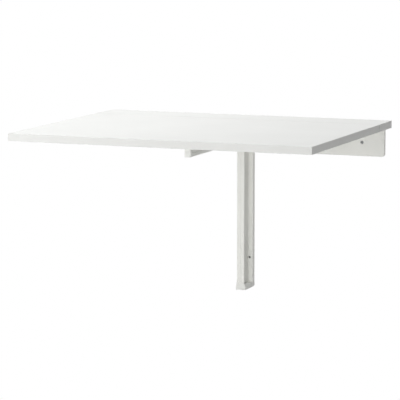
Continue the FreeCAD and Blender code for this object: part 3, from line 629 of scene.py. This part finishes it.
hinge_plates("hinge_plates_shelf", 1, [(-30.0, -10.3), (10.3, 30.0)], "frame", hinge_nodes("fixed_plate"))
hinge_plates("hinge_plates_leaf", -1, [(-10.0, 10.0)], "leaf", hinge_nodes("moving_plate"))

pin_profile = [(0, -30.8), (1.5, -30.75), (2.1, -30.55), (2.2, -30.3), (2.2, -30.05), (1.5, -30.0),
               (1.5, 30.0), (2.2, 30.05), (2.2, 30.3), (2.1, 30.55), (1.5, 30.75), (0, 30.8)]
places = [placed((x, HINGE_Y, HINGE_Z), ALONG_X) for x in HINGE_XS]
pins = copies(turned(pin_profile, steps=24), places)
place_piece("hinge_pins", pins, "frame", zinc, hinge_nodes("pin"))

# %% [markdown]
# ## Spring of the catch
# A torsion spring is one piece of wire: a straight leg, the coils, and a second leg. A curve object
# could carry the wire too, but the operators say how it is wound: a circle is pushed up as the first
# leg, spun three times round the axis with a small step along it at each turn, and pushed on as the
# second leg.

# %% Catch spring
CATCH_Y, CATCH_Z = -48.0, -14.0
SPRING_R, SPRING_WIRE, SPRING_PITCH, SPRING_TURNS, SPRING_LEG = 4.0, 0.45, 1.05, 3, 9.0
SPRING_X, WIRE_SIDES, STEPS_A_TURN = POST_X + 14.3, 12, 24


def push(bm, ring, lift):
    """Pushes a ring of wire straight on along Z and gives back the new ring."""
    out = bmesh.ops.extrude_edge_only(bm, edges=ring)["geom"]
    bmesh.ops.translate(bm, verts=only(bmesh.types.BMVert, out), vec=(0.0, 0.0, lift))
    return [edge for edge in only(bmesh.types.BMEdge, out) if all(vert in out for vert in edge.verts)]


spring = bmesh.new()
circle = bmesh.ops.create_circle(spring, cap_ends=False, segments=WIRE_SIDES, radius=SPRING_WIRE)["verts"]
bmesh.ops.translate(spring, verts=circle, vec=(SPRING_X, CATCH_Y + SPRING_R, CATCH_Z - SPRING_LEG))
wire_end = list(spring.edges)
bmesh.ops.edgeloop_fill(spring, edges=wire_end)
wire_end = push(spring, wire_end, SPRING_LEG)
wire_end = sweep(spring, wire_end, (SPRING_X, CATCH_Y, CATCH_Z), 2 * math.pi * SPRING_TURNS,
                 STEPS_A_TURN * SPRING_TURNS, shift=SPRING_PITCH / STEPS_A_TURN)
bmesh.ops.edgeloop_fill(spring, edges=push(spring, wire_end, SPRING_LEG))
place_piece("spring_wound", spring, "frame", wire, ["catch_spring"], sharp=60.0)

# %% [markdown]
# ## Rivets and the pivot pin
# A rivet's head is not a flat disc: the hammer leaves a low dome with a thin, rounded rim. The pivot pin
# is turned from bar, with a softened edge at each end and a groove for its clip. Each is spun from one
# profile that runs from end to end, and laid along X.

# %% Rivets and pivot pin
CHEEK_OUT = 11.5
RIVET_R, RIVET_HIGH, SHANK_R = 4.2, 1.4, 2.5
RIVET_Y, RIVET_ZS = -23.0, (-13.0, -24.0)
CATCH_RIVET_R, CATCH_RIVET_HIGH, CATCH_RIVET_FOOT, CATCH_RIVET_LONG = 5.6, 1.5, 9.0, 9.2
PIVOT_Y, PIVOT_Z, PIVOT_R, GROOVE_R = -56.0, 6.0, 4.0, 3.1
DOME = [(0.0, 1.0), (0.35, 0.985), (0.6, 0.9), (0.8, 0.68), (0.93, 0.4), (1.0, 0.12), (0.98, 0.0)]


def dome(radius, height, level, up=1):
    """A low dome's profile from its middle to its rim, standing on level."""
    points = [(radius * r, level + up * height * h) for r, h in DOME]
    return points if up > 0 else points[::-1]


def turned_along_x(name, profile, steps, places, node):
    """A zinc piece on the frame that is turned about the X axis at each of its places."""
    form = copies(turned(profile, steps), [placed(place, ALONG_X) for place in places])
    place_piece(name, form, "frame", zinc, [node])


rivet = dome(RIVET_R, RIVET_HIGH, CHEEK_OUT) + [(SHANK_R, CHEEK_OUT), (SHANK_R, -CHEEK_OUT)]
rivet += dome(RIVET_R, RIVET_HIGH, -CHEEK_OUT, up=-1)
turned_along_x("cheek_rivet_domes", rivet, 36, [(POST_X, RIVET_Y, z) for z in RIVET_ZS], "cheek_rivets")

rivet = dome(CATCH_RIVET_R, CATCH_RIVET_HIGH, CATCH_RIVET_LONG)
rivet += [(SHANK_R, CATCH_RIVET_LONG), (SHANK_R, 0.0), (0.0, 0.0)]
turned_along_x("catch_rivet_dome", rivet, 36, [(POST_X + CATCH_RIVET_FOOT, CATCH_Y, CATCH_Z)],
               "catch_rivet")

head = [(0.0, 2.0), (5.4, 2.0), (6.2, 1.85), (6.75, 1.4), (7.0, 0.8), (7.0, 0.15), (6.85, 0.0),
        (PIVOT_R, 0.0)]
tail = [(PIVOT_R, 0.4), (GROOVE_R, 0.4), (GROOVE_R, 1.6), (PIVOT_R, 1.6), (PIVOT_R, 2.4), (3.4, 3.0),
        (0.0, 3.0)]
pivot = [(radius, CHEEK_OUT + out) for radius, out in head]
pivot += [(radius, -CHEEK_OUT - out) for radius, out in tail]
turned_along_x("pivot_pin_turned", pivot, 40, [(POST_X, PIVOT_Y, PIVOT_Z)], "pivot_pin")

# %% [markdown]
# ## Bushes behind the screw holes
# Where a screw goes through a hollow sheet, a plastic bush keeps it from crushing the steel. Each is
# turned from one profile: a collar, the bore with a small lead-in, and at the wall a grey skin a few
# tenths of a millimetre thick that closes the bore. The skin is painted shade: a grey sheet that stands
# in for the shaded wall seen through the holes, so that the holes look dark from the front.

# %% Bushes
# SHADE_SKIN is the thickness of the grey sheet of painted shade that closes each bore at the wall.
SHADE_SKIN, LEAD_IN = 0.3, 0.3
WALL_HOLE_OUT, POST_HOLE_OUT, POST_HOLE_Z = 296.0, 13.0, -300.0


def bush(name, outside, bore, front, steps, places, node):
    """Turned from the painted shade skin at the wall, round the outside, and back down the bore to that
    skin.
    """
    profile = [(0.0, 0.0)] + outside
    profile += [(bore + LEAD_IN, front), (bore, front - LEAD_IN), (bore, SHADE_SKIN), (0.0, SHADE_SKIN)]
    form = copies(turned(profile, steps), [placed(place, OUT_OF_WALL) for place in places])
    place_piece(name, form, "frame", grey, [node])


collar = [(7.7, 0.0), (8.0, 0.3), (8.0, 4.2), (4.5, 4.2), (4.5, 5.0), (4.3, 5.2)]
bush("wall_bush_collars", collar, 2.75, 5.2, 40,
     [(x, 0.0, 0.0) for x in (-WALL_HOLE_OUT, WALL_HOLE_OUT)], "wall_bushes")

tube = [(4.0, 0.0), (4.2, 0.2), (4.2, 9.5), (4.0, 9.7)]
bush("post_sleeve_tubes", tube, 2.5, 9.7, 32,
     [(POST_X + x, 0.0, POST_HOLE_Z) for x in (-POST_HOLE_OUT, POST_HOLE_OUT)], "post_sleeves")

# %% [markdown]
# ## Floor
# The floor lies where it would in a room, with the table top 74 cm above it. It has to look like plain
# white paper and still catch the light that falls on it and send some of it back up, so it has two
# faces. To the rays that show what is there, from the camera or off a shiny surface, it glows at a
# strength of 1, which is white. To the rays that gather light it is a pale matt surface. The glow isn't
# sampled as a lamp, since it lights nothing. Its underside lets everything through, so that the table
# can be looked at from below.

# %% Floor
TOP_Z, TOP_HEIGHT = 0.056, 0.74
FLOOR_HALF = 40.0


def showing_rays(tree):
    """1 for rays from the camera, a shiny surface or glass, which show what is there. 0 for the others."""
    path = tree.nodes.new("ShaderNodeLightPath")
    shows = path.outputs["Is Camera Ray"]
    for kind in ("Is Glossy Ray", "Is Transmission Ray"):
        either = tree.nodes.new("ShaderNodeMath")
        either.operation = "MAXIMUM"
        tree.links.new(shows, either.inputs[0])
        tree.links.new(path.outputs[kind], either.inputs[1])
        shows = either.outputs["Value"]
    return shows


def floor_material():
    """White where it is seen, pale and matt to the light, clear from below."""
    material, shader = new_material("floor", (0.85, 0.85, 0.85), 0.9)
    material.cycles.emission_sampling = "NONE"
    tree = material.node_tree
    glow = tree.nodes.new("ShaderNodeEmission")
    glow.inputs["Strength"].default_value = 1.0
    mix = tree.nodes.new("ShaderNodeMixShader")
    tree.links.new(showing_rays(tree), mix.inputs["Fac"])
    tree.links.new(shader.outputs["BSDF"], mix.inputs[1])
    tree.links.new(glow.outputs["Emission"], mix.inputs[2])
    clear = tree.nodes.new("ShaderNodeBsdfTransparent")
    side = tree.nodes.new("ShaderNodeNewGeometry")
    through = tree.nodes.new("ShaderNodeMixShader")
    tree.links.new(side.outputs["Backfacing"], through.inputs["Fac"])
    tree.links.new(mix.outputs["Shader"], through.inputs[1])
    tree.links.new(clear.outputs["BSDF"], through.inputs[2])
    tree.links.new(through.outputs["Shader"], tree.nodes["Material Output"].inputs["Surface"])
    return material


floor_bm = bmesh.new()
bmesh.ops.create_grid(floor_bm, x_segments=1, y_segments=1, size=FLOOR_HALF)
bmesh.ops.translate(floor_bm, verts=floor_bm.verts, vec=(0.0, 0.0, TOP_Z - TOP_HEIGHT))
floor_mesh = bpy.data.meshes.new("floor")
floor_bm.to_mesh(floor_mesh)
floor_bm.free()
floor = bpy.data.objects.new("floor", floor_mesh)
floor.data.materials.append(floor_material())
bpy.context.scene.collection.objects.link(floor)
print("the floor is", TOP_HEIGHT, "m below the top")

# %% [markdown]
# ## Surroundings
# The world is a weak, even light from all round, which opens the shadows. The camera sees it as white,
# and so do the rays off a shiny surface, because bare metal shows what is round it.

# %% Surroundings
WORLD_STRENGTH = 0.085

world = bpy.data.worlds.new("studio")
world.use_nodes = True
world_tree = world.node_tree
background = world_tree.nodes["Background"]
background.inputs["Color"].default_value = (1.0, 1.0, 1.0, 1.0)
background.inputs["Strength"].default_value = WORLD_STRENGTH
bright = world_tree.nodes.new("ShaderNodeBackground")
bright.inputs["Color"].default_value = (1.0, 1.0, 1.0, 1.0)
bright.inputs["Strength"].default_value = 1.0
choose = world_tree.nodes.new("ShaderNodeMixShader")
world_tree.links.new(showing_rays(world_tree), choose.inputs["Fac"])
world_tree.links.new(background.outputs["Background"], choose.inputs[1])
world_tree.links.new(bright.outputs["Background"], choose.inputs[2])
world_tree.links.new(choose.outputs["Shader"], world_tree.nodes["World Output"].inputs["Surface"])
bpy.context.scene.world = world
print("the world lights the table with a strength of", WORLD_STRENGTH)

# %% [markdown]
# ## Lights
# White on white is told apart only by how bright each side is. Large square lamps give soft light
# without hard shadows: one above makes the top nearly white, one in front lights the edge and the post,
# and weaker ones from the left, the right and behind keep every other side readable. Each is aimed at
# the table by turning its own -Z axis along the line from the lamp to its aim, and the camera doesn't
# see the lamps themselves.

# %% Lights
def area_light(name, place, aim, size, power):
    """A square lamp of the given size, in metres, and power, in watts."""
    data = bpy.data.lights.new(name, "AREA")
    data.shape = "SQUARE"
    data.size = size
    data.energy = power
    light = bpy.data.objects.new(name, data)
    light.location = place
    light.rotation_euler = (Vector(aim) - Vector(place)).to_track_quat("-Z", "Y").to_euler()
    light.visible_camera = False
    bpy.context.scene.collection.objects.link(light)
    print("lamp", name, "gives", power, "W")


area_light("top", (-0.85, -0.4, 2.4), (0.0, -0.3, 0.0), 1.6, 58.8)
area_light("left", (-1.3, -1.9, 0.5), (-0.1, -0.5, 0.0), 0.9, 11.8)
area_light("front", (-0.2, -4.6, -0.05), (0.0, -0.3, -0.05), 1.2, 55.0)
area_light("right", (3.6, -2.2, 0.8), (0.0, -0.3, 0.0), 2.0, 18.5)
area_light("back", (0.4, 3.2, 1.1), (0.0, 0.0, 0.0), 1.6, 40.0)

bpy.context.scene.view_settings.view_transform = "Standard"
